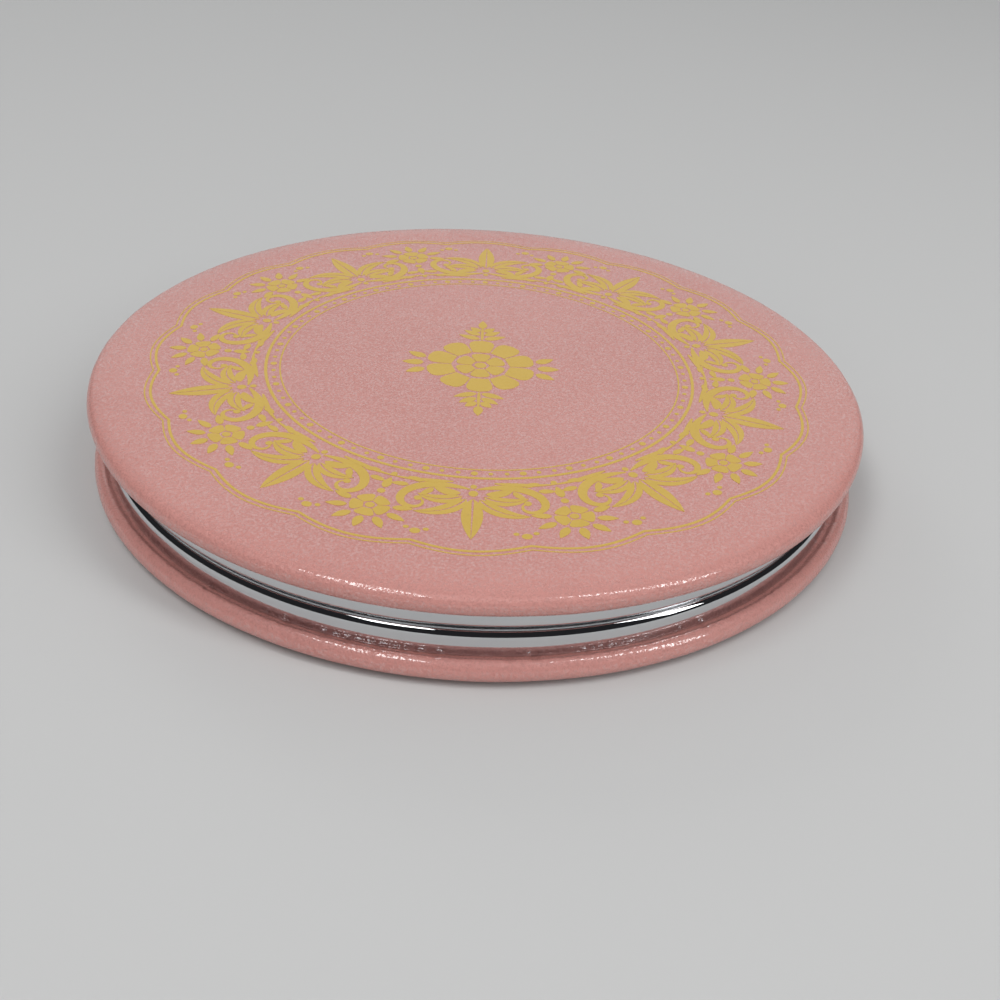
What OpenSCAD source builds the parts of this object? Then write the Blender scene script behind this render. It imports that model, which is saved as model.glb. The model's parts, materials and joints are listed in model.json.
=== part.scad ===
// Round compact mirror: two plated case halves on a rear hinge, each with a mirror inside
// and a leather pad with a rolled edge outside. All lengths are in millimetres.
// It lies closed on its base pad: +Z is up and the hinge is at +Y.

/* [Overall] */
// Diameter over the leather pads
pad_d = 70; // [62:0.5:78]
// How far the case wall stands in from the pads' edge
case_inset = 1.4; // [1:0.1:1.8]
// Gap left between the two case halves when they are closed
parting_gap = 0.1; // [0.06:0.02:0.2]

/* [Leather pads] */
// Thickness of the leather
leather_t = 0.35; // [0.3:0.05:0.45]
// Thickness of the board that the leather is wrapped over
board_t = 0.7; // [0.5:0.1:1]
// Thickness of the foam over the board's rim
foam_rim_t = 0.2; // [0.15:0.05:0.4]
// Rise of the pad's flat middle over its rolled edge
pad_crown = 0.35; // [0.2:0.05:0.6]
// Width of the soft shoulder round the flat middle
shoulder_w = 3.5; // [2.5:0.5:6]
// Width of the leather that is turned in under the board
turn_in_w = 6; // [4:0.5:8]
// Gap between the turned-in leather and the adhesive disc
turn_in_gap = 0.3; // [0.2:0.1:1]

/* [Case halves] */
// Thickness of the case floor
floor_t = 0.6; // [0.4:0.05:0.8]
// Width of the flat land round the mirror
land_w = 3.5; // [3:0.1:5]
// Radius of the lip at the parting line
lip_r = 0.75; // [0.4:0.05:0.9]
// Radius of the land's inner edge
land_edge_r = 0.2; // [0.1:0.05:0.3]
// Radius of the wall's foot, at the pad
foot_r = 0.15; // [0.1:0.05:0.3]

/* [Mirrors] */
// Thickness of the mirror glass
glass_t = 1.1; // [0.8:0.1:1.5]
// Chamfer on the edge of the glass
glass_chamfer = 0.2; // [0.1:0.05:0.3]
// Gap between a mirror and the land
mirror_gap = 0.2; // [0.1:0.05:0.4]
// Depth of the plain mirror below the land
mirror_recess = 0.25; // [0.2:0.05:0.5]
// Thickness of the adhesive bed under the plain mirror
bed_t = 0.35; // [0.3:0.05:0.6]
// Width of glass that the adhesive bed leaves free
bed_inset = 2; // [0.5:0.5:4]
// Radius of curvature of the magnifying mirror
bowl_r = 1200; // [1000:50:2000]
// Thickness of the adhesive under the middle of the magnifying mirror
bowl_bed_t = 0.1; // [0.05:0.05:0.15]

/* [Hinge] */
// Length of the hinge barrel
hinge_w = 15; // [12:0.5:18]
// Length of the lid's knuckle, in the middle of the barrel
lid_knuckle_w = 6.6; // [5:0.2:8]
// Gap between neighbouring knuckles
knuckle_gap = 0.15; // [0.1:0.05:0.3]
// Diameter of the barrel
barrel_d = 3; // [2.6:0.1:3.4]
// Chamfer on the ends of each knuckle
knuckle_chamfer = 0.15; // [0.1:0.05:0.25]
// How far the hinge axis lies outside the pads' edge
hinge_out = 0.2; // [0.15:0.05:0.6]
// Room round the barrel where the case walls are cut back
barrel_gap = 0.2; // [0.15:0.05:0.3]
// Height of a knuckle's web where it meets the barrel
web_h = 1.2; // [1:0.1:1.3]
// Height of a knuckle's web at the case wall
web_root_h = 1.8; // [1.4:0.1:2]
// How far a web reaches into the case wall
web_root_in = 0.6; // [0.4:0.1:1]
// Diameter of the hinge pin
pin_d = 1.2; // [1:0.1:1.4]
// Chamfer on the ends of the pin
pin_chamfer = 0.15; // [0.1:0.05:0.25]
// Radial clearance of the pin in the lid's knuckle
pin_clearance = 0.04; // [0.02:0.01:0.08]
// Radial interference of the pin in the base's knuckles
pin_press = 0.01; // [0.005:0.005:0.02]
// How far the pin's ends lie inside the barrel
pin_sunk = 0.1; // [0:0.05:0.3]

/* [Magnets] */
// Diameter of a closing magnet
magnet_d = 2.4; // [2:0.1:2.6]
// Height of a closing magnet
magnet_h = 1.2; // [1:0.1:1.4]
// Radial room round a magnet in its pocket
magnet_gap = 0.05; // [0.03:0.01:0.1]
// Depth of glue over a magnet
magnet_glue_t = 0.1; // [0.05:0.05:0.2]
// Distance between the two magnets of a case half, along the land
magnet_spacing = 12; // [8:1:30]

/* [Hidden] */
$fn = 128;

leather_pink = [0.81, 0.60, 0.57];
foam_white = [0.93, 0.92, 0.88];
board_grey = [0.62, 0.58, 0.52];
tape_white = [0.88, 0.88, 0.84];
chrome = [0.78, 0.79, 0.81];
mirror_blue = [0.70, 0.78, 0.82];
magnet_grey = [0.55, 0.55, 0.57];
steel = [0.66, 0.66, 0.68];

// Cuts run past a surface by this much
overrun = 0.2;
// Steps of the magnifying mirror's curve, and how many of them lie on adhesive
bowl_steps = 12;
bowl_bed_steps = 11;

pad_r = pad_d / 2;
edge_h = 2 * leather_t + board_t + foam_rim_t;
edge_r = edge_h / 2;
pad_h = edge_h + pad_crown;
flat_r = pad_r - shoulder_w;
board_r = pad_r - edge_r;
turn_in_r = pad_r - turn_in_w;

// The shoulder is the arc that meets the flat middle and the rolled edge without a crease
shoulder_run = board_r - flat_r;
shoulder_r = (shoulder_run ^ 2 + (pad_h - edge_r) ^ 2 - edge_r ^ 2) / (2 * pad_h - 4 * edge_r);
shoulder_a = atan2(shoulder_run, shoulder_r - pad_h + edge_r);

case_r = pad_r - case_inset;
case_h = floor_t + bed_t + glass_t + mirror_recess;
pocket_r = case_r - land_w;
mirror_r = pocket_r - mirror_gap;
mid_z = pad_h + case_h + parting_gap / 2;
floor_top_z = pad_h + floor_t;
rim_z = pad_h + case_h;

hinge_y = pad_r + hinge_out;
barrel_r = barrel_d / 2;
pin_r = pin_d / 2;
base_knuckle_w = (hinge_w - lid_knuckle_w) / 2 - knuckle_gap;
base_knuckle_x = (hinge_w - base_knuckle_w) / 2;
web_in_y = sqrt(case_r ^ 2 - (hinge_w / 2) ^ 2) - web_root_in;

magnet_ring_r = case_r - land_w / 2;
magnet_a = asin(magnet_spacing / (2 * magnet_ring_r));

// Height of the magnifying mirror's curve over its lowest point, at a radius
function bowl_rise(r) = bowl_r - sqrt(bowl_r ^ 2 - r ^ 2);

function bowl_curve(z, steps) = [
  for (i = [0:steps])
    let (r = mirror_r * i / bowl_steps)
      [r, z + bowl_rise(r)]
];

function reversed(points) = [for (i = [len(points) - 1:-1:0]) points[i]];

// Half section of a pad with its crown down, drawn inset from the leather's outside.
// The shoulder's arc and the rolled edge's arc meet on the line through both centres.
module pad_section(inset) {
  rim = [board_r, pad_h - edge_r];
  reach = 2 * edge_r;
  meeting = rim + reach * [sin(shoulder_a), -cos(shoulder_a)];
  translate([0, inset])
    square([flat_r, pad_h - 2 * inset]);
  translate([flat_r, rim.y])
    square([shoulder_run, edge_r - inset]);
  intersection() {
    translate([flat_r, shoulder_r])
      circle(shoulder_r - inset);
    polygon([[flat_r, rim.y], rim, meeting, [flat_r, -overrun]]);
  }
  intersection() {
    translate(rim)
      circle(edge_r - inset);
    polygon([rim, meeting, rim + [reach, -reach], rim + [reach, reach], rim + [0, reach]]);
  }
}

// Leather drawn over the foam, rolled round the board's rim and turned in behind it
module leather_cover() {
  rotate_extrude()
    difference() {
      pad_section(0);
      pad_section(leather_t);
      translate([0, pad_h - leather_t - overrun])
        square([turn_in_r, leather_t + 2 * overrun]);
    }
}

// Foam between the leather and the board, which also wraps the board's rim
module foam_pad() {
  rotate_extrude()
    difference() {
      pad_section(leather_t);
      translate([0, pad_h - leather_t - board_t])
        square([board_r, board_t + overrun]);
    }
}

module backing_board() {
  translate([0, 0, pad_h - leather_t - board_t])
    cylinder(r = board_r, h = board_t);
}

// Adhesive disc that fills the opening inside the turned-in leather
module pad_adhesive() {
  translate([0, 0, pad_h - leather_t])
    cylinder(r = turn_in_r - turn_in_gap, h = leather_t);
}

// What rounding a corner takes off. The corner points along way, such as [1, 1].
module corner_waste(corner, way, r) {
  low = corner - r * way;
  high = corner + overrun * way;
  difference() {
    polygon([low, [high.x, low.y], high, [low.x, high.y]]);
    translate(low)
      circle(r);
  }
}

// Half section of a case half: floor, wall with a rounded lip, and land round the mirror
module case_section() {
  difference() {
    translate([0, pad_h])
      square([case_r, case_h]);
    translate([0, floor_top_z])
      square([pocket_r, case_h]);
    corner_waste([case_r, pad_h], [1, -1], foot_r);
    corner_waste([case_r, rim_z], [1, 1], lip_r);
    corner_waste([pocket_r, rim_z], [-1, 1], land_edge_r);
  }
}

// Lies along X on the hinge axis, centred
module on_hinge_axis() {
  translate([0, hinge_y, mid_z])
    rotate([0, 90, 0])
      children();
}

// A turned rod with a chamfer on each end, centred along Z
module chamfered_rod(r, h, chamfer) {
  rotate_extrude()
    polygon([
      [0, -h / 2], [r - chamfer, -h / 2], [r, chamfer - h / 2],
      [r, h / 2 - chamfer], [r - chamfer, h / 2], [0, h / 2]
    ]);
}

// One knuckle of the barrel with the web that carries it on the case wall
module knuckle(x, w) {
  translate([x, 0, 0]) {
    on_hinge_axis()
      chamfered_rod(barrel_r, w, knuckle_chamfer);
    translate([-w / 2, 0, 0])
      rotate([90, 0, 90])
        linear_extrude(w)
          polygon([
            [web_in_y, rim_z - web_root_h], [hinge_y, rim_z - web_h],
            [hinge_y, rim_z], [web_in_y, rim_z]
          ]);
  }
}

module at_magnet(side) {
  rotate([0, 0, side * magnet_a])
    translate([0, -magnet_ring_r, pad_h])
      children();
}

// A case half with its knuckles, given as places and widths along the barrel
module case_half(knuckles, bore_r) {
  difference() {
    union() {
      difference() {
        rotate_extrude()
          case_section();
        on_hinge_axis()
          cylinder(r = barrel_r + barrel_gap, h = hinge_w + 2 * barrel_gap, center = true);
      }
      for (k = knuckles)
        knuckle(k[0], k[1]);
    }
    on_hinge_axis()
      cylinder(r = bore_r, h = hinge_w + 2 * overrun, center = true);
    for (side = [-1, 1])
      at_magnet(side)
        translate([0, 0, -overrun])
          cylinder(r = magnet_d / 2 + magnet_gap, h = magnet_glue_t + magnet_h + overrun);
  }
}

// A magnet at the blind end of its pocket, side -1 on the left and 1 on the right
module magnet(side) {
  at_magnet(side)
    translate([0, 0, magnet_glue_t])
      cylinder(d = magnet_d, h = magnet_h);
}

module plain_bed() {
  translate([0, 0, floor_top_z])
    cylinder(r = mirror_r - bed_inset, h = bed_t);
}

module plain_glass() {
  translate([0, 0, floor_top_z + bed_t + glass_t / 2])
    chamfered_rod(mirror_r, glass_t, glass_chamfer);
}

// Adhesive that fills the hollow between the floor and the curved glass
module bowl_bed() {
  rotate_extrude()
    polygon(concat(
      bowl_curve(floor_top_z + bowl_bed_t, bowl_bed_steps),
      [[mirror_r * bowl_bed_steps / bowl_steps, floor_top_z], [0, floor_top_z]]
    ));
}

// Glass of even thickness, slumped to a shallow bowl
module bowl_glass() {
  back = bowl_curve(floor_top_z + bowl_bed_t, bowl_steps);
  rotate_extrude()
    polygon(concat(
      [for (i = [0:bowl_steps - 1]) back[i]],
      [
        back[bowl_steps] + [0, glass_chamfer],
        back[bowl_steps] + [0, glass_t - glass_chamfer],
        back[bowl_steps] + [-glass_chamfer, glass_t]
      ],
      reversed([for (i = [0:bowl_steps - 1]) back[i] + [0, glass_t]])
    ));
}

// The lid is the base's likeness, turned over on the parting plane
module as_lid() {
  translate([0, 0, 2 * mid_z])
    mirror([0, 0, 1])
      children();
}

module base_leather_cover() {
  color(leather_pink) leather_cover();
}

module base_foam_pad() {
  color(foam_white) foam_pad();
}

module base_backing_board() {
  color(board_grey) backing_board();
}

module base_pad_adhesive() {
  color(tape_white) pad_adhesive();
}

module base_case() {
  color(chrome)
    case_half([[-base_knuckle_x, base_knuckle_w], [base_knuckle_x, base_knuckle_w]], pin_r - pin_press);
}

module base_mirror_adhesive() {
  color(tape_white) bowl_bed();
}

module base_magnifying_mirror() {
  color(mirror_blue) bowl_glass();
}

module base_magnet_left() {
  color(magnet_grey) magnet(-1);
}

module base_magnet_right() {
  color(magnet_grey) magnet(1);
}

module lid_leather_cover() {
  color(leather_pink) as_lid() leather_cover();
}

module lid_foam_pad() {
  color(foam_white) as_lid() foam_pad();
}

module lid_backing_board() {
  color(board_grey) as_lid() backing_board();
}

module lid_pad_adhesive() {
  color(tape_white) as_lid() pad_adhesive();
}

module lid_case() {
  color(chrome) as_lid() case_half([[0, lid_knuckle_w]], pin_r + pin_clearance);
}

module lid_mirror_adhesive() {
  color(tape_white) as_lid() plain_bed();
}

module lid_plain_mirror() {
  color(mirror_blue) as_lid() plain_glass();
}

module lid_magnet_left() {
  color(magnet_grey) as_lid() magnet(-1);
}

module lid_magnet_right() {
  color(magnet_grey) as_lid() magnet(1);
}

module hinge_pin() {
  color(steel)
    on_hinge_axis()
      chamfered_rod(pin_r, hinge_w - 2 * pin_sunk, pin_chamfer);
}

base_leather_cover();
base_foam_pad();
base_backing_board();
base_pad_adhesive();
base_case();
base_mirror_adhesive();
base_magnifying_mirror();
base_magnet_left();
base_magnet_right();
lid_leather_cover();
lid_foam_pad();
lid_backing_board();
lid_pad_adhesive();
lid_case();
lid_mirror_adhesive();
lid_plain_mirror();
lid_magnet_left();
lid_magnet_right();
hinge_pin();
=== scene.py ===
"""Dresses the compact mirror: leather pads, chrome case halves, a hollow mirror and stamped foil."""

import json
import math

import bmesh
import bpy
from mathutils import Matrix, Vector, noise


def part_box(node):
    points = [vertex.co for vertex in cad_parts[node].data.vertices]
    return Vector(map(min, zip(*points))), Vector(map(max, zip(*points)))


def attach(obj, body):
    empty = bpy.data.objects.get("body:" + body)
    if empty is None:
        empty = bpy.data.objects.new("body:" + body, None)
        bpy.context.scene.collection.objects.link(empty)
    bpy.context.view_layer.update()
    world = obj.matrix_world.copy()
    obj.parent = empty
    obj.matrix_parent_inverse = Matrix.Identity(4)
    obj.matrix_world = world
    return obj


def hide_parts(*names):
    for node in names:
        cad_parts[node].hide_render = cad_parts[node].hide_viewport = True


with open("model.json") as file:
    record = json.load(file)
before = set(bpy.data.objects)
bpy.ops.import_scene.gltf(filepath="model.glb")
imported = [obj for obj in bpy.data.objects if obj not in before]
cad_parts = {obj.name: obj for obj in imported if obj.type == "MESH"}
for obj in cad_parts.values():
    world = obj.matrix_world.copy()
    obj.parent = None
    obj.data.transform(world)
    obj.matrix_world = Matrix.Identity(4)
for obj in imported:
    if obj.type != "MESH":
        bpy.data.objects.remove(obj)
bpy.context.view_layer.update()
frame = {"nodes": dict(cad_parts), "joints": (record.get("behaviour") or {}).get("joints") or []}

MM = 0.001

# Sizes of the solids, as the part's source names them
LEATHER_T = 0.35 * MM
EDGE_R = 0.8 * MM
SHOULDER_W = 3.5 * MM
TURN_IN_W = 6 * MM
CASE_INSET = 1.4 * MM
CASE_H = 2.3 * MM
FLOOR_T = 0.6 * MM
LAND_W = 3.5 * MM
LIP_R = 0.75 * MM
LAND_EDGE_R = 0.2 * MM
FOOT_R = 0.15 * MM
HINGE_W = 15 * MM
LID_KNUCKLE_W = 6.6 * MM
KNUCKLE_GAP = 0.15 * MM
KNUCKLE_CHAMFER = 0.15 * MM
BARREL_R = 1.5 * MM
BARREL_GAP = 0.2 * MM
WEB_H = 1.2 * MM
WEB_ROOT_H = 1.8 * MM
WEB_ROOT_IN = 0.6 * MM
WEB_IN = 0.01 * MM
WEB_DIP = 0.05 * MM
WEB_NOSE_H = 0.9 * MM
WEB_NOSE_W = 1.1 * MM
PIN_R = 0.6 * MM
PIN_CLEARANCE = 0.04 * MM
PIN_PRESS = 0.01 * MM
MAGNET_POCKET_R = 1.25 * MM
MAGNET_POCKET_H = 1.3 * MM
MAGNET_SPACING = 12 * MM
MIRROR_GAP = 0.2 * MM
GLASS_T = 1.1 * MM
GLASS_CHAMFER = 0.2 * MM
BOWL_R = 1200 * MM
BOWL_BED_T = 0.1 * MM

# Sizes that are read from the frame, and what follows from them
PAD_LOW, PAD_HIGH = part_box("lid_leather_cover")
PAD_R = PAD_HIGH.y
PAD_H = PAD_HIGH.z - PAD_LOW.z
HINGE = Vector(frame["joints"][0]["pos_m"])
CASE_R = PAD_R - CASE_INSET
POCKET_R = CASE_R - LAND_W
RIM_Z = PAD_H + CASE_H

# The rim swells a little over the plane that the case lies on
RIM_SWELL = 0.25 * MM
SWELL_IN = 0.5 * MM
SWELL_FROM = PAD_R - EDGE_R - SWELL_IN

# Unevenness where the leather is drawn round the rim, and pleats where it is gathered behind it.
# The pleats are counted per degree.
UNEVEN_H = 0.025 * MM
UNEVEN_WAVES = 7
PLEAT_H = 0.12 * MM
PLEAT_W = 0.6 * MM
BROAD_PLEATS = 0.55
FINE_PLEATS = 1.3
FINE_PLEAT_SHARE = 0.6
LID_SEED = 1.7
BASE_SEED = 4.2

# Sizes of the leather's grains, of the pores in them and of the specks of its coat
GRAIN_W = 0.3 * MM
PORE_W = 0.13 * MM
SPECK_W = 0.19 * MM

# Steps round the turned pieces, and the number of alike sectors that each is made of
LEATHER_STEPS = 1200
CASE_STEPS = 360
GLASS_STEPS = 240
ROD_STEPS = 72
SECTORS = 12
# Steps of a rounded corner and of a bowl's half section
CORNER_STEPS = 10
BOWL_STEPS = 20
# How a bmesh is spun about Z
ABOUT_Z = {"cent": (0, 0, 0), "axis": (0, 0, 1), "use_merge": False, "use_normal_flip": False}

# Points nearer to each other than this are one
MERGE = 1e-7
# A point stands this far before and after a rounded corner, so that the flats beside it shade flat
FLAT_MARGIN = 0.03 * MM
# Solids are joined and cut at this scale, where the join of small parts stays closed
WORK_SCALE = 1000
# Edges of metal, glass and foil that turn by more degrees than this stay sharp
SHARP = 25

# Layout of the stamped foil, in millimetres, on a strip that is bent round the wreath's circle.
# Heights there count layers, so that no two shapes that cross lie in one plane.
WREATH_R = 23.6
WREATH_UNITS = 10
UNIT_W = 2 * math.pi * WREATH_R / WREATH_UNITS
FOIL_T = 0.015 * MM
LAYER_T = 0.001 * MM
FOIL_MERGE = 1e-4
# The halves of a split leaf stand this far off its vein, so that they don't touch at its ends
SPLIT = 0.01
# Two exponents of a shape's width. The first, below 1, moves its widest place towards its foot.
# The second, the greater it is, the more its ends taper.
LEAF_BULGE = (0.75, 0.85)
SCROLL_BULGE = (0.8, 1.2)
# Share of its wedge that a petal fills
PETAL_FILL = 0.94

# A leaf is its foot, heading, length and width, and its bend and slit if it has them
PALMETTE_MIDDLE = ((0, -1.0), 90, 5.5, 1.6, 0, 0.18)
PALMETTE_SIDE = (
    ((0.55, -0.95), 66, 4.7, 1.25, -13, 0.16),
    ((0.90, -1.30), 40, 3.9, 1.15, -17, 0.16),
    ((1.05, -1.75), 12, 2.9, 0.90, -20, 0),
)
# A dot is its place and radius
PALMETTE_DOTS = (((0, -1.75), 0.42), ((0, -2.75), 0.3))
TREFOIL = (((0, 0), 0.36), ((-0.66, -0.34), 0.2), ((0.66, -0.34), 0.2))
TREFOIL_PLACE = (UNIT_W / 4 - 0.1, 4.05)

INNER_SCROLL = {
    "start": (0.30, -2.35), "heading": -18, "length": 10.6,
    "bends": (6, 10, 17, 31, 60, 110), "steps": 48,
}
INNER_SCROLL_W = 0.86
INNER_SCROLL_EYE_R = 0.32
OUTER_SCROLL = {
    "start": (1.9, -3.3), "heading": 5, "length": 5.4,
    "bends": (1, 1, -2, -4), "steps": 26,
}
OUTER_SCROLL_W = 0.46
SCROLL_TAIL_W = 0.14
# Leaves on the scroll: share of its length, a leaf's length and its width
LEAVES_OUT = ((0.32, 1.6, 0.62),)
LEAVES_IN = ((0.40, 1.5, 0.58), (0.50, 1.6, 0.60))
SCROLL_LEAF_LEAN = 52
SCROLL_LEAF_BEND = 14
SCROLL_LEAF_FOOT = 0.5

FLOWER_PLACE = (UNIT_W / 2, 1.85)
FLOWER_R = 1.5
FLOWER_PETALS = 5
FLOWER_EYE_SHARE = 0.24
FLOWER_PETAL_SHARE = 0.32
FLOWER_LEAF = {"length": 1.55, "width": 0.68}
FLOWER_LEAF_FOOT = 1.62
FLOWER_LEAF_LEANS = (-100, -67, -33, 0, 33, 67, 100)
JOINT_BUD = ((UNIT_W / 2, -0.35), 0.34)
JOINT_LEAF = ((UNIT_W / 2, -0.85), -90, 1.6, 0.8)
JOINT_DOT = ((UNIT_W / 2, -3.0), 0.3)

# Lines round the wreath: radius and width
INNER_LINE = (18.2, 0.14)
INNER_BAND = (19.4, 0.28)
CONTOUR = (28.75, 0.24)
CONTOUR_HAIRLINE = (29.3, 0.12)
CONTOUR_RISE = 0.75
LINE_STEPS = 240
CONTOUR_STEPS = 400
BEAD_RING_R = 18.85
BEADS_PER_UNIT = 9
BEAD_R = 0.2
LARGE_BEAD_R = 0.3
LARGE_BEAD_EVERY = 3

ROSE_EYE_R = 0.55
# Whorls of the rose: inner radius, outer radius, petals and turn
ROSE_WHORLS = ((0.75, 2.35, 6, 30), (2.6, 5.1, 10, 18))
# Leaves of its sprigs: height of the foot, heading and length
SPRIG_LEAVES = ((5.45, 14, 2.2), (6.3, 26, 1.8), (7.05, 38, 1.3))
SPRIG_LEAF_X = 0.2
SPRIG_LEAF_W = 0.8
SPRIG_LEAF_BEND = 6
SPRIG_TIP = ((0, 7.75), 90, 1.7, 0.85)
SPRIG_STEM = {"start": (0, 5.25), "heading": 90, "length": 2.5, "bends": (0, 0)}
SPRIG_STEM_W = 0.3
SPRIG_STEM_TAIL_W = 0.2
FAN_LEAF = ((5.1, 1.15), 24, 1.9, 0.95, 4)
FAN_TIP_X = 5.25
FAN_TIP = {"length": 2.0, "width": 1.05}

# The camera that the photograph was taken with, from the middle of the lid's edge.
# Its focus is in pixels, like the photograph's width.
CAMERA_FOCUS = 1300
PHOTO_W = 1000
CAMERA_RISE = math.radians(27.74)
CAMERA_DISTANCE = 121.2 * MM
CAMERA_YAW = math.radians(1.42)
CAMERA_PITCH = math.radians(33.1)
CAMERA_ROLL = math.radians(4.01)
SENSOR_W = 36

# The floor fades from its own tone to the world's between these two distances, in metres
WORLD_TONE = (0.405, 0.41, 0.415, 1.0)
FLOOR_TONE = (0.535, 0.535, 0.532, 1.0)
FLOOR_NEAR = 0.25
FLOOR_FAR = 0.65
FLOOR_REACH = 3

# What shines sees a wall in a dark room. The wall fades out between these two angles from
# straight behind, in degrees, over its top and past its sides.
WALL_TONE = (0.72, 0.725, 0.73, 1.0)
ROOM_TONE = (0.02, 0.02, 0.022, 1.0)
WALL_TOP = (45, 75)
WALL_SIDE = (28, 42)


class Wire:
    """A socket's value. Arithmetic on it adds Math nodes."""

    def __init__(self, graph, socket):
        self.graph = graph
        self.socket = socket

    def math(self, operation, first, second):
        return self.graph.node("ShaderNodeMath", {"operation": operation}, {0: first, 1: second})

    def __add__(self, other):
        return self.math("ADD", self, other)

    def __radd__(self, other):
        return self.math("ADD", other, self)

    def __mul__(self, other):
        return self.math("MULTIPLY", self, other)

    def __rmul__(self, other):
        return self.math("MULTIPLY", other, self)


class Graph:
    """A node tree that is built up call by call."""

    def __init__(self, tree, coordinates):
        self.tree = tree
        self.tree.nodes.clear()
        self.place = self.node("ShaderNodeTexCoord", output=coordinates)

    def node(self, kind, settings=None, inputs=None, output=0):
        """Adds a node. Its settings are made first, and then its sockets get their values or links."""
        made = self.tree.nodes.new(kind)
        for name, value in (settings or {}).items():
            setattr(made, name, value)
        for key, value in (inputs or {}).items():
            if isinstance(value, Wire):
                self.tree.links.new(value.socket, made.inputs[key])
            else:
                made.inputs[key].default_value = value
        return Wire(self, made.outputs[output]) if made.outputs else None

    def step(self, value, low, high):
        """0 below low and 1 above high, smooth between them."""
        return self.node(
            "ShaderNodeMapRange",
            {"interpolation_type": "SMOOTHSTEP"},
            {"Value": value, "From Min": low, "From Max": high},
        )

    def beyond(self, angle, near, far):
        """0 within near degrees of straight ahead and 1 beyond far degrees."""
        size = self.node("ShaderNodeMath", {"operation": "ABSOLUTE"}, {0: angle})
        return self.step(size, math.radians(near), math.radians(far))

    def mix(self, share, first, second):
        """The first colour where share is 0 and the second where it is 1."""
        return self.node(
            "ShaderNodeMix", {"data_type": "RGBA"}, {0: share, 6: first, 7: second}, output=2
        )


class Finish(Graph):
    """One material on Object coordinates."""

    def __init__(self, name):
        self.material = bpy.data.materials.new(name)
        self.material.use_nodes = True
        super().__init__(self.material.node_tree, "Object")

    def noise(self, size, detail=2.0, roughness=0.5):
        return self.node(
            "ShaderNodeTexNoise",
            inputs={"Vector": self.place, "Scale": 1 / size, "Detail": detail, "Roughness": roughness},
        )

    def cells(self, size):
        return self.node(
            "ShaderNodeTexVoronoi", {"feature": "SMOOTH_F1"}, {"Vector": self.place, "Scale": 1 / size}
        )

    def bump(self, height, depth, strength):
        return self.node(
            "ShaderNodeBump", inputs={"Height": height, "Distance": depth, "Strength": strength}
        )

    def surface(self, inputs):
        shader = self.node("ShaderNodeBsdfPrincipled", inputs=inputs)
        self.node("ShaderNodeOutputMaterial", inputs={"Surface": shader})
        return self.material


def rgba(red, green, blue):
    return (red, green, blue, 1.0)


def leather_grain(finish):
    """Height of the fine embossed grain, which the foil lies on too."""
    grain = finish.cells(GRAIN_W)
    pores = finish.noise(PORE_W, detail=3.0, roughness=0.6)
    return grain * 0.8 + pores * 0.6


def leather_finish():
    """Fine-grained coated leather, satin, a little deeper in colour between its grains.
    The coat lies in specks on the tops of the grains, so that lamps glint in it."""
    finish = Finish("pink_leather")
    height = leather_grain(finish)
    waves = finish.noise(2.5 * MM)
    blush = finish.noise(14 * MM)
    specks = finish.noise(SPECK_W, detail=3.0, roughness=0.65)
    base = finish.mix(
        finish.step(specks, 0.38, 0.62), rgba(0.515, 0.222, 0.196), rgba(0.555, 0.248, 0.220)
    )
    return finish.surface({
        "Base Color": finish.mix(finish.step(blush, 0.35, 0.65) * 0.5, base, rgba(0.571, 0.260, 0.230)),
        "Roughness": 0.28 + height * 0.12,
        "Coat Weight": finish.step(specks, 0.48, 0.60),
        "Coat Roughness": 0.07,
        "Coat IOR": 2.25,
        "Normal": finish.bump(height + waves * 0.7, depth=0.07 * MM, strength=1.0),
    })


def foil_finish():
    """Stamped gold foil, which takes the leather's grain and is worn thin in the hollows.
    It isn't all metal, so that it stays golden where it has the dark room to reflect."""
    finish = Finish("gold_foil")
    height = leather_grain(finish)
    tone = finish.noise(3 * MM, detail=3.0)
    gold = finish.mix(tone, rgba(0.725, 0.490, 0.095), rgba(0.790, 0.540, 0.122))
    worn = finish.step(height, 0.85, 1.1) * 0.5
    return finish.surface({
        "Base Color": finish.mix(worn, gold, rgba(0.62, 0.37, 0.18)),
        "Metallic": 0.65,
        "Roughness": 0.31 + height * 0.12,
        "Normal": finish.bump(height, depth=0.03 * MM, strength=0.7),
    })


def chrome_finish():
    """Bright plating with hairline rubs that only its roughness shows."""
    finish = Finish("case_chrome")
    rubs = finish.noise(0.6 * MM, detail=4.0, roughness=0.7)
    haze = finish.noise(6 * MM)
    return finish.surface({
        "Base Color": finish.mix(haze, rgba(0.62, 0.63, 0.65), rgba(0.68, 0.69, 0.70)),
        "Metallic": 1.0,
        "Roughness": 0.03 + finish.step(rubs, 0.5, 0.8) * 0.07,
    })


def mirror_finish():
    """Silvered glass with a faint green cast and a little dust. It isn't all metal, so that it
    goes grey, and not black, where it has the dark room to reflect."""
    finish = Finish("mirror_glass")
    dust = finish.noise(1.5 * MM, detail=5.0, roughness=0.7)
    return finish.surface({
        "Base Color": finish.mix(
            finish.step(dust, 0.62, 0.8) * 0.3, rgba(0.88, 0.91, 0.90), rgba(0.80, 0.83, 0.82)
        ),
        "Metallic": 0.8,
        "Roughness": 0.012 + finish.step(dust, 0.6, 0.8) * 0.05,
    })


def steel_finish():
    """Ground steel, for the hinge pin."""
    finish = Finish("pin_steel")
    lines = finish.noise(0.15 * MM, detail=3.0)
    return finish.surface({
        "Base Color": finish.mix(lines, rgba(0.50, 0.50, 0.51), rgba(0.62, 0.62, 0.63)),
        "Metallic": 1.0,
        "Roughness": 0.22 + lines * 0.12,
    })


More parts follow.
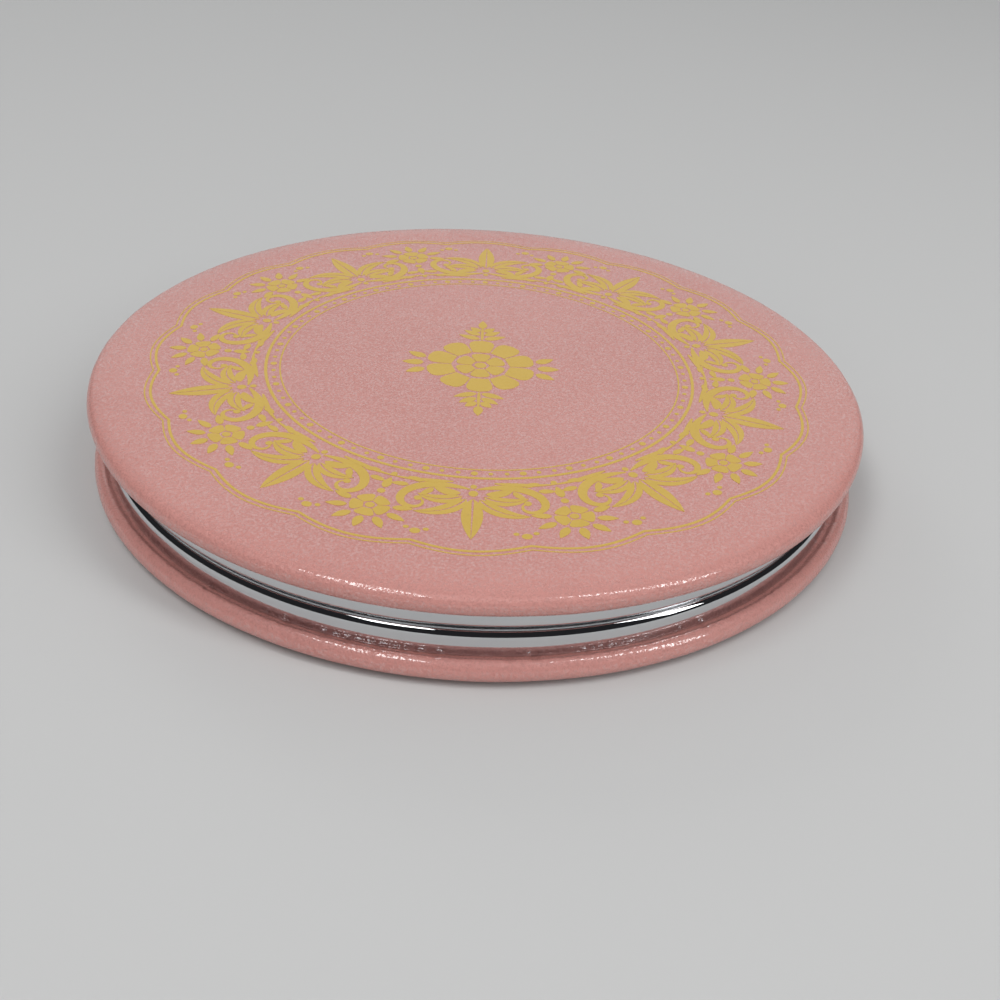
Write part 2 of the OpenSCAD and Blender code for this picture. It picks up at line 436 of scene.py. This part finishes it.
def plain_finish(name, low, high, size, roughness, depth):
    """Matte stock for what lies inside: foam, board, adhesive and magnets."""
    finish = Finish(name)
    grain = finish.noise(size, detail=4.0, roughness=0.6)
    return finish.surface({
        "Base Color": finish.mix(grain, rgba(*low), rgba(*high)),
        "Roughness": roughness + grain * 0.1,
        "Normal": finish.bump(grain, depth, strength=0.6),
    })


def arc(center, radius, start, end, steps):
    """Points of an arc, from start to end in degrees."""
    turns = [math.radians(start + (end - start) * i / steps) for i in range(steps + 1)]
    return [(center[0] + radius * math.cos(a), center[1] + radius * math.sin(a)) for a in turns]


def line(start, end, steps):
    """Points from start to end, without the first."""
    return [tuple(s + (e - s) * i / steps for s, e in zip(start, end)) for i in range(1, steps + 1)]


def rounded(corners):
    """An outline through corners (r, z, radius), with an arc on each corner that has a radius."""
    points = []
    for index, (r, z, radius) in enumerate(corners):
        corner = Vector((r, z))
        if not radius:
            points.append(corner)
            continue
        before = (corner - Vector(corners[index - 1][:2])).normalized()
        after = (Vector(corners[index + 1][:2]) - corner).normalized()
        turn = math.atan2(before.cross(after), before.dot(after))
        start = corner - before * radius * math.tan(abs(turn) / 2)
        center = start + Vector((-before.y, before.x)) * math.copysign(radius, turn)
        points.append(start - before * FLAT_MARGIN)
        for step in range(CORNER_STEPS + 1):
            points.append(center + Matrix.Rotation(turn * step / CORNER_STEPS, 2) @ (start - center))
        points.append(points[-1] + after * FLAT_MARGIN)
    return [tuple(point) for point in points]


def vertices(parts):
    """The vertices among what a bmesh operator returns."""
    return [part for part in parts if isinstance(part, bmesh.types.BMVert)]


def repeated(bm, count):
    """Adds copies of all that the bmesh holds, so that count of them stand evenly round Z."""
    whole = bm.verts[:] + bm.edges[:] + bm.faces[:]
    angle = 2 * math.pi * (count - 1) / count
    bmesh.ops.spin(bm, geom=whole, angle=angle, steps=count - 1, use_duplicate=True, **ABOUT_Z)


def spun(outline, steps):
    """A bmesh of the outline turned about Z: one sector is swept, and the others are its copies."""
    bm = bmesh.new()
    verts = [bm.verts.new((r, 0, z)) for r, z in outline]
    sector = verts + [bm.edges.new(pair) for pair in zip(verts, verts[1:])]
    angle = 2 * math.pi / SECTORS
    bmesh.ops.spin(bm, geom=sector, angle=angle, steps=steps // SECTORS, use_duplicate=False, **ABOUT_Z)
    repeated(bm, SECTORS)
    bmesh.ops.remove_doubles(bm, verts=bm.verts, dist=MERGE)
    on_axis = [edge for edge in bm.edges if not edge.link_faces]
    bmesh.ops.delete(bm, geom=on_axis, context="EDGES")
    bmesh.ops.recalc_face_normals(bm, faces=bm.faces)
    return bm


def moved(bm, matrix):
    """The bmesh, after the matrix has moved it."""
    bmesh.ops.transform(bm, matrix=matrix, verts=bm.verts)
    return bm


def as_lid(bm):
    """Turns a piece of the base over on the parting plane, to be the lid's."""
    moved(bm, Matrix.Translation((0, 0, 2 * HINGE.z)) @ Matrix.Scale(-1, 4, (0, 0, 1)))
    bmesh.ops.recalc_face_normals(bm, faces=bm.faces)
    return bm


def placed(name, bm):
    """An object in the scene with the bmesh in it."""
    mesh = bpy.data.meshes.new(name)
    bm.to_mesh(mesh)
    bm.free()
    made = bpy.data.objects.new(name, mesh)
    bpy.context.scene.collection.objects.link(made)
    return made


def combined(bm, other, operation):
    """The bmesh after the other one is joined to it or cut from it."""
    pair = [placed("operand", moved(part, Matrix.Scale(WORK_SCALE, 4))) for part in (bm, other)]
    boolean = pair[0].modifiers.new("combine", "BOOLEAN")
    boolean.object = pair[1]
    boolean.operation = operation
    boolean.solver = "EXACT"
    shaped = pair[0].evaluated_get(bpy.context.evaluated_depsgraph_get())
    result = bmesh.new()
    result.from_mesh(shaped.to_mesh())
    for made in pair:
        bpy.data.objects.remove(made)
    return moved(result, Matrix.Scale(1 / WORK_SCALE, 4))


def finished(name, bm, material, body, sharp=None):
    """The bmesh as a smooth piece that rides on a body, with edges over the sharp angle kept."""
    piece = placed(name, bm)
    piece.data.shade_smooth()
    if sharp:
        piece.data.set_sharp_from_angle(angle=math.radians(sharp))
    piece.data.materials.append(material)
    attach(piece, body)
    return piece


def pad_outline(inset, shoulder_steps, edge_steps):
    """The pad's half section from its back to the rim of its flat middle, with its back at z = 0."""
    flat_r = PAD_R - SHOULDER_W
    rim = (PAD_R - EDGE_R, EDGE_R)
    run = rim[0] - flat_r
    shoulder_r = (run ** 2 + (PAD_H - EDGE_R) ** 2 - EDGE_R ** 2) / (2 * PAD_H - 4 * EDGE_R)
    angle = math.degrees(math.atan2(run, shoulder_r - PAD_H + EDGE_R))
    rolled = arc(rim, EDGE_R - inset, -90, 90 - angle, edge_steps)
    shoulder = arc((flat_r, PAD_H - shoulder_r), shoulder_r - inset, 90 - angle, 90, shoulder_steps)
    return rolled + shoulder[1:]


def swell(r, z):
    """How far a point at the pad's back rises where the leather is drawn over the board's edge."""
    share = min(1, max(0, (r - SWELL_FROM) / SWELL_IN))
    return RIM_SWELL * share ** 2 * (3 - 2 * share) * max(0, 1 - z / EDGE_R)


def leather_cover(seed):
    """Leather over the foam, round the rim and turned in behind it, with its back at z = 0."""
    back_in = PAD_R - TURN_IN_W
    outside = pad_outline(inset=0, shoulder_steps=8, edge_steps=20)
    inside = pad_outline(inset=LEATHER_T, shoulder_steps=3, edge_steps=8)
    outline = (
        [(back_in, 0)]
        + line((back_in, 0), (SWELL_FROM, 0), 5)
        + line((SWELL_FROM, 0), outside[0], 6)
        + outside[1:]
        + line(outside[-1], (0, PAD_H), 6)
        + line((0, PAD_H), (0, PAD_H - LEATHER_T), 1)
        + line((0, PAD_H - LEATHER_T), inside[-1], 2)
        + inside[-2::-1]
        + line(inside[0], (SWELL_FROM, LEATHER_T), 3)
        + line((SWELL_FROM, LEATHER_T), (back_in, LEATHER_T), 2)
        + [(back_in, 0)]
    )
    bm = spun([(r, z - swell(r, z)) for r, z in outline], LEATHER_STEPS)
    bm.normal_update()
    for vert in bm.verts:
        wrinkle(vert, seed)
    return bm


def wrinkle(vert, seed):
    """Moves a point of the leather's outside, near the rim, along its normal."""
    out = Vector((vert.co.x, vert.co.y, 0))
    radius = out.length
    if radius < PAD_R - SHOULDER_W:
        return
    around = out / radius
    from_rim = Vector((radius - PAD_R + EDGE_R, vert.co.z - EDGE_R))
    if from_rim.length < EDGE_R - LEATHER_T / 2:
        return
    depth = (radius - PAD_R + SHOULDER_W) / SHOULDER_W
    shift = UNEVEN_H * depth * noise.noise(around * UNEVEN_WAVES + Vector((seed, 0, 0)))
    if from_rim.y < 0:
        behind = min(1, max(0, (PAD_R - EDGE_R / 2 - radius) / PLEAT_W))
        turn = math.degrees(math.atan2(around.y, around.x))
        broad = noise.noise(Vector((turn * BROAD_PLEATS, seed * 3.1, 0)))
        fine = noise.noise(Vector((turn * FINE_PLEATS, seed, 5)))
        shift -= PLEAT_H * behind * max(0, broad + FINE_PLEAT_SHARE * fine)
    vert.co += vert.normal * shift


def make_pads(leather):
    """The lid's pad lies with its back down on the lid's case. The base's pad is turned over."""
    upright = Matrix.Translation((0, 0, PAD_LOW.z))
    turned_over = Matrix.Translation((0, 0, PAD_H)) @ Matrix.Rotation(math.pi, 4, "X")
    for half, seed, place in (("lid", LID_SEED, upright), ("base", BASE_SEED, turned_over)):
        bm = moved(leather_cover(seed), place)
        piece = finished(half + "_leather", bm, leather, half)
        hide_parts(half + "_leather_cover")


def along_hinge(bm, x):
    """Lays a piece that was turned about Z along the hinge axis."""
    place = Matrix.Translation((x, HINGE.y, HINGE.z))
    return moved(bm, place @ Matrix.Rotation(math.pi / 2, 4, "Y"))


def rod(radius, length):
    """A plain rod about Z, centred."""
    half = length / 2
    return spun([(0, -half), (radius, -half), (radius, half), (0, half)], ROD_STEPS)


def barrel(width, bore_r):
    """A chamfered tube about Z, centred."""
    half = width / 2
    side = half - KNUCKLE_CHAMFER
    outline = [(bore_r, -half), (BARREL_R - KNUCKLE_CHAMFER, -half), (BARREL_R, -side)]
    outline += [(r, -z) for r, z in reversed(outline)]
    return spun(outline + outline[:1], ROD_STEPS)


def web(x, width):
    """The wedge that carries a knuckle on the case wall. It ends in the barrel, short of the bore."""
    in_y = math.sqrt(CASE_R ** 2 - (HINGE_W / 2) ** 2) - WEB_ROOT_IN
    corners = [
        (in_y, WEB_ROOT_H), (HINGE.y, WEB_H), (HINGE.y, WEB_NOSE_H), (HINGE.y - WEB_NOSE_W, 0),
        (in_y, WEB_DIP),
    ]
    bm = bmesh.new()
    face = bm.faces.new([bm.verts.new((x - width / 2, y, RIM_Z - down)) for y, down in corners])
    grown = bmesh.ops.extrude_face_region(bm, geom=[face])["geom"]
    bmesh.ops.translate(bm, verts=vertices(grown), vec=(width, 0, 0))
    bmesh.ops.recalc_face_normals(bm, faces=bm.faces)
    return bm


def case_half(knuckles, bore_r):
    """A plated pan with its land, rounded lip, relief for the barrel, magnet pockets and knuckles."""
    floor_top = PAD_H + FLOOR_T
    bm = spun(rounded([
        (0, floor_top, 0), (POCKET_R, floor_top, 0), (POCKET_R, RIM_Z, LAND_EDGE_R),
        (CASE_R, RIM_Z, LIP_R), (CASE_R, PAD_H, FOOT_R), (0, PAD_H, 0),
    ]), CASE_STEPS)
    relief = along_hinge(rod(BARREL_R + BARREL_GAP, HINGE_W + 2 * BARREL_GAP), 0)
    bm = combined(bm, relief, "DIFFERENCE")
    ring_r = CASE_R - LAND_W / 2
    for side in (-1, 1):
        turn = side * math.asin(MAGNET_SPACING / (2 * ring_r))
        pocket = rod(MAGNET_POCKET_R, 2 * MAGNET_POCKET_H)
        moved(pocket, Matrix.Rotation(turn, 4, "Z") @ Matrix.Translation((0, -ring_r, PAD_H)))
        bm = combined(bm, pocket, "DIFFERENCE")
    for x, width in knuckles:
        tube = along_hinge(barrel(width, bore_r), x)
        knuckle = combined(tube, web(x, width - 2 * WEB_IN), "UNION")
        bm = combined(bm, knuckle, "UNION")
    return bm


def make_cases(chrome):
    """The base has a knuckle at each end of the hinge, and the lid has one between them."""
    base_knuckle_w = (HINGE_W - LID_KNUCKLE_W) / 2 - KNUCKLE_GAP
    base_knuckle_x = (HINGE_W - base_knuckle_w) / 2
    base_knuckles = [(side * base_knuckle_x, base_knuckle_w) for side in (-1, 1)]
    base = case_half(base_knuckles, PIN_R - PIN_PRESS)
    lid = as_lid(case_half([(0, LID_KNUCKLE_W)], PIN_R + PIN_CLEARANCE))
    for half, bm in (("base", base), ("lid", lid)):
        piece = finished(half + "_pan", bm, chrome, half, SHARP)
        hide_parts(half + "_case")


def bowl(z, reach):
    """Half section of a shallow bowl whose middle lies at a height."""
    places = [reach * i / BOWL_STEPS for i in range(BOWL_STEPS + 1)]
    return [(r, z + BOWL_R - math.sqrt(BOWL_R ** 2 - r ** 2)) for r in places]


def make_hollow_mirror(mirror):
    """The magnifying mirror: glass of even thickness, slumped to a shallow bowl."""
    edge = POCKET_R - MIRROR_GAP
    low = PAD_H + FLOOR_T + BOWL_BED_T
    back = bowl(low, edge)
    front = bowl(low + GLASS_T, edge - GLASS_CHAMFER)
    rim = [(edge, back[-1][1] + GLASS_CHAMFER), (edge, front[-1][1] - GLASS_CHAMFER)]
    bm = spun(back[:-1] + rim + front[::-1], GLASS_STEPS)
    piece = finished("hollow_mirror", bm, mirror, "base", SHARP)
    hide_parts("base_magnifying_mirror")


def sweep(start, heading, length, bends, steps=20):
    """Points and headings along a line whose bend goes through the listed degrees per millimetre."""
    x, y = start
    angle = math.radians(heading)
    path = [(x, y, angle)]
    for step in range(steps):
        place = step / steps * (len(bends) - 1)
        low = min(int(place), len(bends) - 2)
        bend = bends[low] + (bends[low + 1] - bends[low]) * (place - low)
        angle += math.radians(bend) * length / steps
        x += math.cos(angle) * length / steps
        y += math.sin(angle) * length / steps
        path.append((x, y, angle))
    return path


def bulge(share, footward, taper):
    """0 at both ends of a shape's length and 1 where it is widest."""
    return max(0, math.sin(math.pi * share ** footward)) ** taper


def strip(bm, path, left, right, layer=0):
    """Foil between two offsets from a path, each a function of the share of the path's length."""
    chains = []
    for offset in (left, right):
        verts = []
        for index, (x, y, angle) in enumerate(path):
            reach = offset(index / (len(path) - 1))
            corner = (x - math.sin(angle) * reach, y + math.cos(angle) * reach, layer)
            verts.append(bm.verts.new(corner))
        chains += [bm.edges.new(pair) for pair in zip(verts, verts[1:])]
    bmesh.ops.bridge_loops(bm, edges=chains)


def ribbon(bm, path, width, tail=SCROLL_TAIL_W, layer=0):
    """A scroll that swells in the middle of its length."""

    def half(share):
        return (tail + (width - tail) * bulge(share, *SCROLL_BULGE)) / 2

    strip(bm, path, half, lambda share: -half(share), layer)


def leaf(bm, start, heading, length, width, bend=0.0, slit=0.0, layer=0):
    """A pointed leaf, widest near its foot, split along its vein if it has a slit."""
    path = sweep(start, heading, length, (bend, bend), steps=12)

    def half(share):
        return bulge(share, *LEAF_BULGE) * width / 2

    if not slit:
        strip(bm, path, half, lambda share: -half(share), layer)
        return
    for side in (-1, 1):
        strip(
            bm, path,
            lambda share: side * (half(share) + SPLIT),
            lambda share: side * (min(slit / 2 * (1 - share), half(share)) + SPLIT),
            layer,
        )


def dot(bm, place, radius, segments=14, layer=0):
    """A round dot of foil."""
    made = bmesh.ops.create_circle(bm, cap_ends=True, radius=radius, segments=segments)
    bmesh.ops.translate(bm, verts=made["verts"], vec=(*place, layer))


def band(bm, radius, width, rise=0.0, segments=LINE_STEPS):
    """A line round the middle, with two scallops to each unit if it has a rise."""
    edges = []
    for edge_r in (radius, radius + width):
        made = bmesh.ops.create_circle(bm, radius=edge_r, segments=segments)
        for vert in made["verts"]:
            turn = math.atan2(vert.co.x, vert.co.y)
            vert.co *= 1 + rise / edge_r * abs(math.cos(WREATH_UNITS * turn))
        edges += list({edge for vert in made["verts"] for edge in vert.link_edges})
    bmesh.ops.bridge_loops(bm, edges=edges)


def bead_ring(bm):
    """Beads round the middle, with a large one after every few."""
    beads = WREATH_UNITS * BEADS_PER_UNIT
    for index in range(beads):
        turn = 2 * math.pi * index / beads
        radius = BEAD_R if index % LARGE_BEAD_EVERY else LARGE_BEAD_R
        place = (BEAD_RING_R * math.sin(turn), BEAD_RING_R * math.cos(turn))
        dot(bm, place, radius, segments=10)


def petals(bm, place, inner, outer, count, turn=0.0, layer=0):
    """A whorl of round petals that nearly touch."""
    x, y = place
    for index in range(count):
        heading = turn + 360 * index / count
        angle = math.radians(heading)
        foot = (x + inner * math.cos(angle), y + inner * math.sin(angle))

        def half(share):
            reach = inner + (outer - inner) * share
            wedge = reach * math.tan(math.pi / count) * PETAL_FILL
            return wedge * math.sqrt(max(0, 1 - share ** 4))

        path = sweep(foot, heading, outer - inner, (0, 0), steps=16)
        strip(bm, path, half, lambda share: -half(share), layer)


def flower(bm, place, radius, count, turn, layer):
    """Round petals about a dot."""
    dot(bm, place, radius * FLOWER_EYE_SHARE, layer=layer)
    petals(bm, place, radius * FLOWER_PETAL_SHARE, radius, count, turn, layer=layer)


def leaves_on(bm, path, side, spots, layer):
    """Leaves on one side of a scroll. A spot is a share of its length, a leaf's length and width."""
    for share, length, width in spots:
        x, y, angle = path[int(share * (len(path) - 1))]
        out = angle + side * math.radians(90)
        foot = (x + SCROLL_LEAF_FOOT * math.cos(out), y + SCROLL_LEAF_FOOT * math.sin(out))
        heading = math.degrees(angle) + side * SCROLL_LEAF_LEAN
        leaf(bm, foot, heading, length, width, -side * SCROLL_LEAF_BEND, layer=layer)


def reflected(bm, first, flip):
    """Adds a reflection of all that was made from the first vertex on."""
    bm.verts.ensure_lookup_table()
    verts = bm.verts[first:]
    edges = list({edge for vert in verts for edge in vert.link_edges})
    faces = list({face for vert in verts for face in vert.link_faces})
    copy = bmesh.ops.duplicate(bm, geom=verts + edges + faces)["geom"]
    bmesh.ops.scale(bm, vec=flip, verts=vertices(copy))


def wreath_half_unit(bm):
    """Right of a palmette: its leaves, and two scrolls that meet the next unit's under a flower."""
    for layer, shape in enumerate(PALMETTE_SIDE):
        leaf(bm, *shape, layer=layer)
    inner = sweep(**INNER_SCROLL)
    ribbon(bm, inner, INNER_SCROLL_W, layer=3)
    dot(bm, inner[-1][:2], INNER_SCROLL_EYE_R, layer=4)
    leaves_on(bm, inner, side=1, spots=LEAVES_OUT, layer=5)
    leaves_on(bm, inner, side=-1, spots=LEAVES_IN, layer=6)
    outer = sweep(**OUTER_SCROLL)
    ribbon(bm, outer, OUTER_SCROLL_W, layer=7)
    for (x, y), radius in TREFOIL:
        dot(bm, (TREFOIL_PLACE[0] + x, TREFOIL_PLACE[1] + y), radius)


def wreath_unit():
    """One repeat of the wreath, bent round its circle."""
    bm = bmesh.new()
    wreath_half_unit(bm)
    reflected(bm, 0, (-1, 1, 1))
    leaf(bm, *PALMETTE_MIDDLE, layer=1)
    for place, radius in PALMETTE_DOTS:
        dot(bm, place, radius)
    flower(bm, FLOWER_PLACE, FLOWER_R, FLOWER_PETALS, turn=90, layer=2)
    for lean in FLOWER_LEAF_LEANS:
        way = math.radians(90 + lean)
        x = FLOWER_PLACE[0] + FLOWER_LEAF_FOOT * math.cos(way)
        y = FLOWER_PLACE[1] + FLOWER_LEAF_FOOT * math.sin(way)
        leaf(bm, (x, y), 90 + lean, **FLOWER_LEAF, layer=8)
    dot(bm, *JOINT_BUD)
    leaf(bm, *JOINT_LEAF)
    dot(bm, *JOINT_DOT, layer=8)
    for vert in bm.verts:
        reach = WREATH_R + vert.co.y
        turn = vert.co.x / WREATH_R
        vert.co.x = reach * math.sin(turn)
        vert.co.y = reach * math.cos(turn)
    return bm


def middle_rose(bm):
    """A double rose with a sprig above and below it and a fan of leaves at each side."""
    dot(bm, (0, 0), ROSE_EYE_R, segments=24)
    for inner, outer, count, turn in ROSE_WHORLS:
        petals(bm, (0, 0), inner, outer, count, turn)
    first = len(bm.verts)
    for layer, (foot_y, heading, length) in enumerate(SPRIG_LEAVES):
        foot = (SPRIG_LEAF_X, foot_y)
        leaf(bm, foot, heading, length, SPRIG_LEAF_W, SPRIG_LEAF_BEND, layer=layer)
    leaf(bm, *FAN_LEAF)
    reflected(bm, first, (-1, 1, 1))
    ribbon(bm, sweep(**SPRIG_STEM), SPRIG_STEM_W, SPRIG_STEM_TAIL_W, layer=3)
    leaf(bm, *SPRIG_TIP, layer=4)
    reflected(bm, first, (1, -1, 1))
    for x, heading in ((FAN_TIP_X, 0), (-FAN_TIP_X, 180)):
        leaf(bm, (x, 0), heading, **FAN_TIP)


def foil_layout():
    """The whole stamped design, flat, in millimetres."""
    bm = wreath_unit()
    repeated(bm, WREATH_UNITS)
    band(bm, *INNER_LINE)
    band(bm, *INNER_BAND)
    band(bm, *CONTOUR, CONTOUR_RISE, CONTOUR_STEPS)
    band(bm, *CONTOUR_HAIRLINE, CONTOUR_RISE, CONTOUR_STEPS)
    bead_ring(bm)
    middle_rose(bm)
    return bm


def make_foil(gold):
    """Raises the layout by the foil's thickness, with its underside sunk a little in the leather."""
    bm = foil_layout()
    bmesh.ops.remove_doubles(bm, verts=bm.verts, dist=FOIL_MERGE)
    bmesh.ops.scale(bm, vec=(MM, MM, LAYER_T), verts=bm.verts)
    flat = bm.verts[:]
    grown = bmesh.ops.extrude_face_region(bm, geom=bm.faces[:])["geom"]
    bmesh.ops.translate(bm, verts=vertices(grown), vec=(0, 0, FOIL_T))
    for vert in flat:
        vert.co.z = -LAYER_T
    moved(bm, Matrix.Translation((0, 0, PAD_HIGH.z)))
    bmesh.ops.recalc_face_normals(bm, faces=bm.faces)
    finished("foil_wreath", bm, gold, "lid", SHARP)


def inner_finishes():
    """Finishes of the solids that stay as they are, apart from the mirror, by a word of their names."""
    return {
        "hinge_pin": steel_finish(),
        "foam_pad": plain_finish(
            "pad_foam", low=(0.80, 0.78, 0.70), high=(0.88, 0.86, 0.80),
            size=0.3 * MM, roughness=0.8, depth=0.05 * MM,
        ),
        "backing_board": plain_finish(
            "backing_board", low=(0.30, 0.26, 0.20), high=(0.40, 0.35, 0.28),
            size=0.5 * MM, roughness=0.8, depth=0.02 * MM,
        ),
        "adhesive": plain_finish(
            "adhesive", low=(0.72, 0.72, 0.66), high=(0.80, 0.80, 0.74),
            size=1.2 * MM, roughness=0.4, depth=0.01 * MM,
        ),
        "magnet": plain_finish(
            "magnet", low=(0.50, 0.50, 0.51), high=(0.60, 0.60, 0.61),
            size=0.4 * MM, roughness=0.3, depth=0.005 * MM,
        ),
    }


def dress_nodes(mirror):
    """Gives each solid that stays as it is its finish."""
    finishes = {"plain_mirror": mirror, **inner_finishes()}
    for name, node in frame["nodes"].items():
        for word, finish in finishes.items():
            if word in name:
                node.data.materials.clear()
                node.data.materials.append(finish)


def make_camera():
    """The camera stands in front of the lid's edge plane, aimed as the photograph was."""
    middle = Vector((0, 0, PAD_LOW.z + EDGE_R))
    place = middle + CAMERA_DISTANCE * Vector((0, -math.cos(CAMERA_RISE), math.sin(CAMERA_RISE)))
    ahead = Vector((
        math.sin(CAMERA_YAW) * math.cos(CAMERA_PITCH),
        math.cos(CAMERA_YAW) * math.cos(CAMERA_PITCH),
        -math.sin(CAMERA_PITCH),
    ))
    level = Vector((math.cos(CAMERA_YAW), -math.sin(CAMERA_YAW), 0))
    raised = level.cross(ahead)
    right = math.cos(CAMERA_ROLL) * level + math.sin(CAMERA_ROLL) * raised
    up = -math.sin(CAMERA_ROLL) * level + math.cos(CAMERA_ROLL) * raised
    data = bpy.data.cameras.new("camera")
    data.sensor_width = SENSOR_W
    data.lens = CAMERA_FOCUS / PHOTO_W * SENSOR_W
    data.clip_start = 1 * MM
    camera = bpy.data.objects.new("camera", data)
    turn = Matrix((right, up, -ahead)).transposed().to_4x4()
    camera.matrix_world = Matrix.Translation(place) @ turn
    bpy.context.scene.collection.objects.link(camera)
    bpy.context.scene.camera = camera


def area_lamp(name, toward, distance, size, power, along=(0, 0, 1), glossy=True):
    """A softbox that stands in a direction from the object and faces it. Its size is its width
    and height, and its height runs as nearly as it can along a second direction."""
    away = Vector(toward).normalized()
    side = Vector(along).cross(away).normalized()
    data = bpy.data.lights.new(name, "AREA")
    data.shape = "RECTANGLE"
    data.size, data.size_y = size
    data.energy = power
    lamp = bpy.data.objects.new(name, data)
    turn = Matrix((side, away.cross(side), away)).transposed().to_4x4()
    lamp.matrix_world = Matrix.Translation(away * distance) @ turn
    lamp.visible_glossy = glossy
    bpy.context.scene.collection.objects.link(lamp)


def make_lamps():
    """Two ceiling lamps that glint in the rims and the chrome, and two soft fills that don't."""
    area_lamp(
        "left_ceiling", toward=(-0.29, -0.32, 0.90), distance=0.5, size=(0.14, 0.38), power=0.88,
        along=(0, 1, 0),
    )
    area_lamp(
        "right_ceiling", toward=(0.60, -0.30, 0.74), distance=0.5, size=(0.10, 0.50), power=0.92,
        along=(-0.61, 0.33, 0.83),
    )
    area_lamp(
        "window", toward=(-0.40, 0.80, 0.45), distance=0.8, size=(0.30, 0.25), power=0.6, glossy=False
    )
    area_lamp(
        "front_fill", toward=(-0.1, -0.94, 0.33), distance=0.7, size=(0.6, 0.4), power=0.85,
        glossy=False,
    )


def make_world():
    """Soft light from all round. What shines sees a pale wall behind and a dark room in front."""
    world = bpy.data.worlds.new("studio")
    world.use_nodes = True
    graph = Graph(world.node_tree, "Generated")
    side, back, height = (
        graph.node("ShaderNodeSeparateXYZ", inputs={0: graph.place}, output=axis) for axis in "XYZ"
    )
    rise = graph.node("ShaderNodeMath", {"operation": "ARCTAN2"}, {0: height, 1: back})
    turn = graph.node("ShaderNodeMath", {"operation": "ARCTAN2"}, {0: side, 1: back})
    off_wall = graph.node(
        "ShaderNodeMath", {"operation": "MAXIMUM"},
        {0: graph.beyond(rise, *WALL_TOP), 1: graph.beyond(turn, *WALL_SIDE)},
    )
    shine = graph.node("ShaderNodeLightPath", output="Is Glossy Ray")
    tone = graph.mix(shine, WORLD_TONE, graph.mix(off_wall, WALL_TONE, ROOM_TONE))
    background = graph.node("ShaderNodeBackground", inputs={"Color": tone, "Strength": 1.0})
    graph.node("ShaderNodeOutputWorld", inputs={"Surface": background})
    bpy.context.scene.world = world


def floor_finish():
    """Pale and matte near the object, and far off the world's tone."""
    finish = Finish("floor")
    near = finish.node(
        "ShaderNodeBsdfPrincipled",
        inputs={"Base Color": FLOOR_TONE, "Roughness": 0.9, "Specular IOR Level": 0.1},
    )
    far = finish.node("ShaderNodeEmission", inputs={"Color": WORLD_TONE})
    distance = finish.node(
        "ShaderNodeVectorMath", {"operation": "LENGTH"}, {0: finish.place}, output="Value"
    )
    share = finish.step(distance, FLOOR_NEAR, FLOOR_FAR)
    surface = finish.node("ShaderNodeMixShader", inputs={0: share, 1: near, 2: far})
    finish.node("ShaderNodeOutputMaterial", inputs={"Surface": surface})
    return finish.material


def make_stage():
    """A plain pale floor in the studio's light."""
    bm = bmesh.new()
    bmesh.ops.create_grid(bm, x_segments=1, y_segments=1, size=FLOOR_REACH)
    floor = placed("floor", bm)
    floor.data.materials.append(floor_finish())
    make_world()
    make_lamps()


def main():
    make_camera()
    mirror = mirror_finish()
    dress_nodes(mirror)
    make_pads(leather_finish())
    make_cases(chrome_finish())
    make_hollow_mirror(mirror)
    make_foil(foil_finish())
    make_stage()
    bpy.context.scene.view_settings.view_transform = "Standard"


main()
